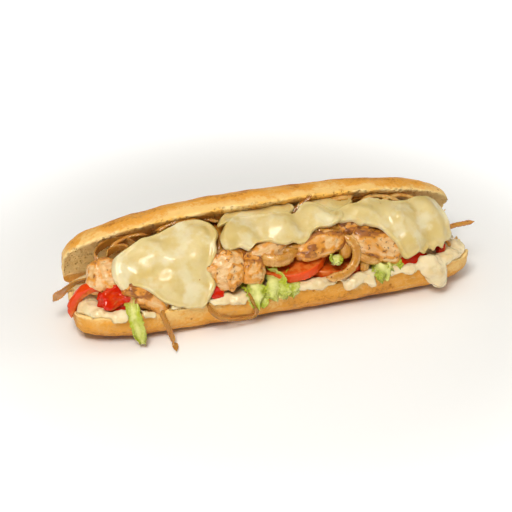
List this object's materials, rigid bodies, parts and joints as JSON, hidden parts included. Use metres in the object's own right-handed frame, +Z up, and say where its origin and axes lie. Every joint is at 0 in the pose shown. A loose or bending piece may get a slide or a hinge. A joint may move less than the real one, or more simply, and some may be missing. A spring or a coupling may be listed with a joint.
{
  "type": "submarine sandwich",
  "caption": "Open submarine sandwich: hinged long white roll filled with grilled chicken, melted cheese, fried onion, tomato, lettuce and white sauce.",
  "frame": {"origin": "bottom centre of the box round the whole sandwich, on the face it rests on", "axes": "+X along the roll, -Y towards the open front, +Y towards the hinge of the roll, +Z up"},
  "size_m": [0.319, 0.0982, 0.0803],
  "materials": {
    "bread": "matt baked crust, paler crumb",
    "sauce": "glossy thick cream sauce",
    "cheese": "soft gloss of melted cheese",
    "chicken": "moist grilled meat",
    "onion": "glossy fried onion",
    "tomato": "wet glossy skin and flesh",
    "lettuce": "thin moist leaf"
  },
  "bodies": {
    "root": {"bread_roll": "bread", "white_sauce": "sauce", "cheese_left": "cheese", "cheese_mid": "cheese", "cheese_right": "cheese", "cheese_back": "cheese", "cheese_back_right": "cheese", "chicken_heap": "chicken", "chicken_left_end": "chicken", "chicken_left_brown": "chicken", "chicken_left_low": "chicken", "chicken_cheese_bit": "chicken", "chicken_centre_big": "chicken", "chicken_centre_small": "chicken", "chicken_mid_white": "chicken", "chicken_mid_knob": "chicken", "chicken_right_mid": "chicken", "chicken_right_upper": "chicken", "chicken_right_big": "chicken", "tomato_slice_mid": "tomato", "tomato_slice_right": "tomato", "tomato_left_rim": "tomato", "tomato_left_chunk": "tomato", "tomato_left_bit": "tomato", "tomato_centre_bit": "tomato", "tomato_right_chunk": "tomato", "tomato_far_right_bit": "tomato", "onion_cup_outer": "onion", "onion_cup_inner": "onion", "onion_ring_mid": "onion", "onion_ring_right": "onion", "onion_hanging_left": "onion", "onion_loop_front": "onion", "onion_far_left": "onion", "onion_lid_left": "onion", "onion_lid_middle": "onion", "onion_lid_pale_a": "onion", "onion_strand_right": "onion", "onion_slice_right": "onion", "onion_tip_right": "onion", "onion_pink_left": "onion", "onion_lump_mid": "onion", "onion_lump_ring": "onion", "onion_lump_low": "onion", "lettuce_left_strip": "lettuce", "lettuce_mid_a": "lettuce", "lettuce_mid_b": "lettuce", "lettuce_mid_c": "lettuce", "lettuce_right_a": "lettuce", "lettuce_right_b": "lettuce", "lettuce_gap": "lettuce"}
  },
  "joints": []
}
